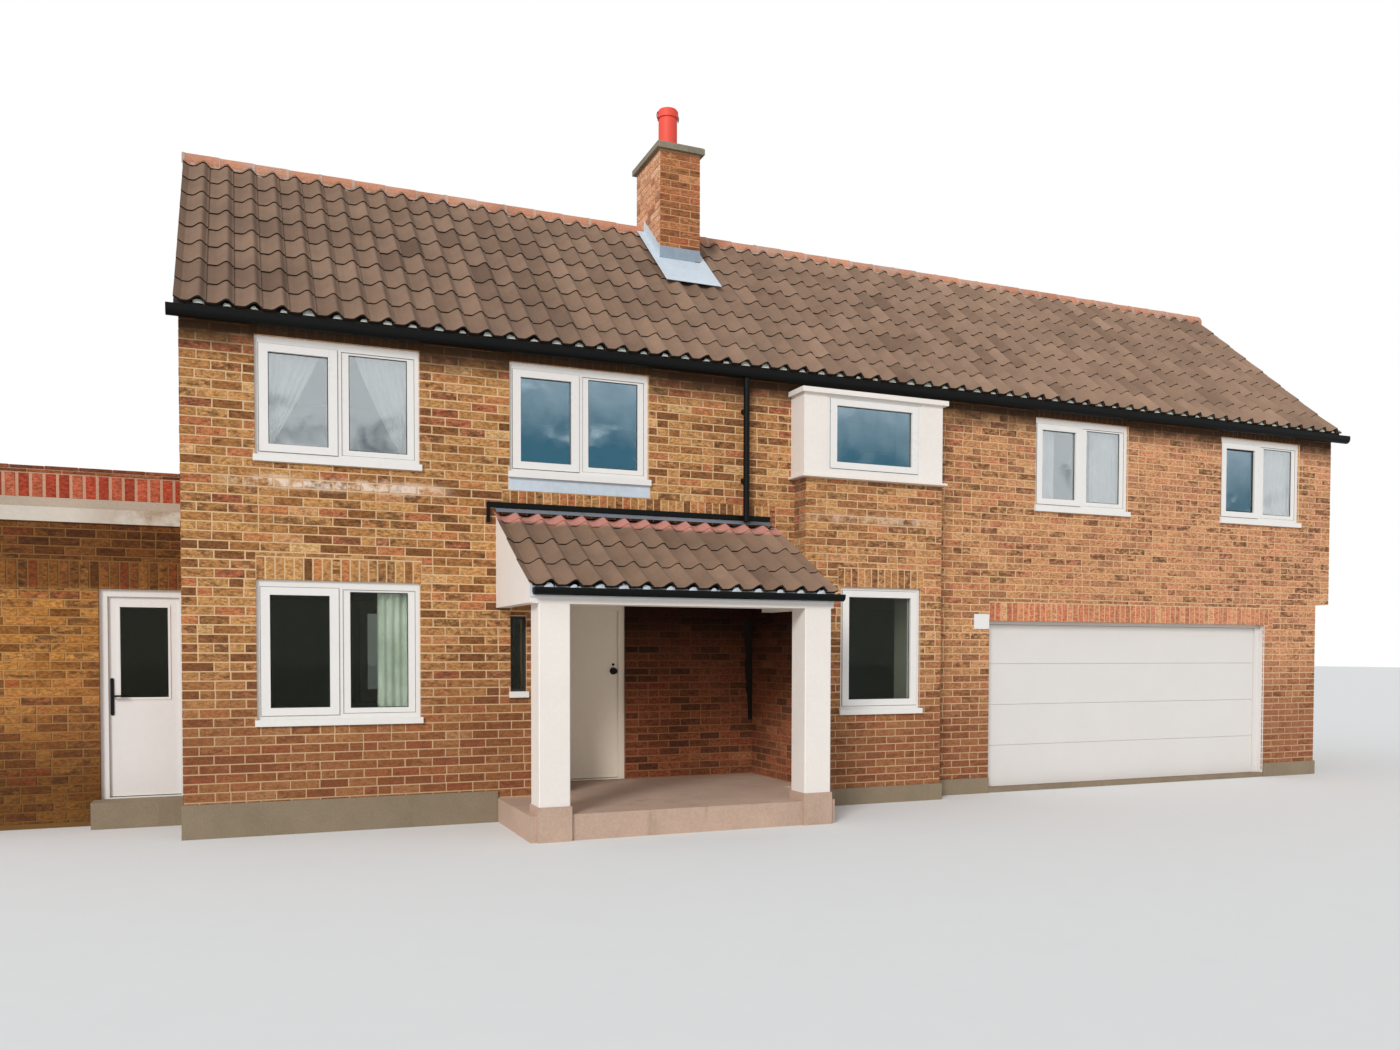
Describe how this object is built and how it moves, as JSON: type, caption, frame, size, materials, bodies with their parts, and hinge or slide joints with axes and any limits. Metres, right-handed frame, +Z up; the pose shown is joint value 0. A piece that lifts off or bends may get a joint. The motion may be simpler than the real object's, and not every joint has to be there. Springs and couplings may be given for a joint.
{
  "type": "detached house",
  "caption": "Two-storey brick house with a pitched tiled roof, front porch, bay, chimney, built-in garage and a flat-roofed side wing.",
  "frame": {"origin": "on the ground plane, midway along the main block's upper storey and midway between its front and back wall faces, which is under the middle of the roof ridge", "axes": "+X along the front, to the right when facing the house; +Y from the front to the back; +Z up"},
  "size_m": [17.305, 6.59, 8.575],
  "materials": {
    "brick_tan": "rough clay brick, tan and ochre with burnt dark bricks, pale mortar joints",
    "brick_recess": "rough red-brown clay brick, pale mortar joints",
    "brick_wing": "rough clay brick, tan, darker under the roof edge",
    "brick_red": "smooth red brick on edge with pale joints",
    "concrete": "rough grey concrete",
    "band_concrete": "weathered grey cement",
    "porch_concrete": "pinkish-grey worn concrete",
    "cap_concrete": "weathered concrete with lichen",
    "roof_tile": "matt grey-brown concrete pantiles",
    "roof_deck": "roofing felt and battens over timber, dark grey-brown",
    "ridge_terracotta": "matt orange-brown clay ridge tiles with mortar joints",
    "pot_terracotta": "matt orange-red fired clay",
    "black_plastic": "smooth glossy black",
    "white_plastic": "smooth white, slight gloss",
    "window_glass": "clear dark float glass",
    "garage_white": "off-white coated steel, faint embossing",
    "cream_paint": "cream-white satin masonry and wood paint",
    "door_cream": "cream painted flush wood, satin",
    "black_metal": "black, semi-gloss",
    "lead": "dull blue-grey lead sheet"
  },
  "bodies": {
    "house": {"back_wall": "brick_tan", "bay_box": "white_plastic", "bay_front_wall": "brick_tan", "bay_jambs": "brick_tan", "chimney_cap": "cap_concrete", "chimney_flashing": "lead", "chimney_pot": "pot_terracotta", "chimney_stack": "brick_tan", "downpipes": "black_plastic", "fascia_boards": "black_plastic", "front_door_frame": "door_cream", "front_wall_ground": "brick_tan", "front_wall_upper": "brick_tan", "gable_walls": "brick_tan", "garage_door": "garage_white", "garage_door_frame": "garage_white", "ground_floor": "concrete", "gutters": "black_plastic", "lintels": "brick_tan", "main_tiles_back": "roof_tile", "main_tiles_front": "roof_tile", "plinth": "concrete", "porch_beams": "cream_paint", "porch_ceiling": "cream_paint", "porch_cheeks": "cream_paint", "porch_columns": "cream_paint", "porch_cover_strip": "black_plastic", "porch_eaves_board": "white_plastic", "porch_floor": "porch_concrete", "porch_roof": "roof_deck", "porch_tiles": "roof_tile", "recess_back_wall": "brick_recess", "recess_side_walls": "brick_recess", "ridge_tiles": "ridge_terracotta", "roof_back": "roof_deck", "roof_front": "roof_deck", "side_door_frame": "white_plastic", "side_door_step": "concrete", "upper_floor": "concrete", "wall_flashings": "lead", "wall_plaque": "white_plastic", "window_frames_back": "white_plastic", "window_frames_front": "white_plastic", "window_glass_back": "window_glass", "window_glass_front": "window_glass", "wing_coping": "brick_red", "wing_door_head": "brick_wing", "wing_fascia": "cream_paint", "wing_long_walls": "brick_wing", "wing_parapet_band": "band_concrete", "wing_side_wall": "brick_wing", "wing_slabs": "concrete"},
    "front_door_leaf": {"front_door": "door_cream", "front_door_knob": "black_metal"},
    "side_door_leaf": {"side_door": "white_plastic", "side_door_glass": "window_glass", "side_door_plate": "black_metal"},
    "side_lever": {"side_door_lever": "black_metal"}
  },
  "joints": [
    {"name": "front_door_hinge", "type": "hinge", "parent": "house", "child": "front_door_leaf", "pos_m": [-3.7175, -1.265, 1.23], "axis": [0, 0, 1], "range_deg": [0, 90]},
    {"name": "side_door_hinge", "type": "hinge", "parent": "house", "child": "side_door_leaf", "pos_m": [-7.4775, -1.12, 1.23], "axis": [0, 0, -1], "range_deg": [0, 90]},
    {"name": "side_lever_pivot", "type": "hinge", "parent": "side_door_leaf", "child": "side_lever", "pos_m": [-8.105, -1.21, 1.273], "axis": [0, 1, 0], "range_deg": [0, 35], "stiffness_Nm_per_rad": 1.5, "springref_deg": -17.19}
  ]
}
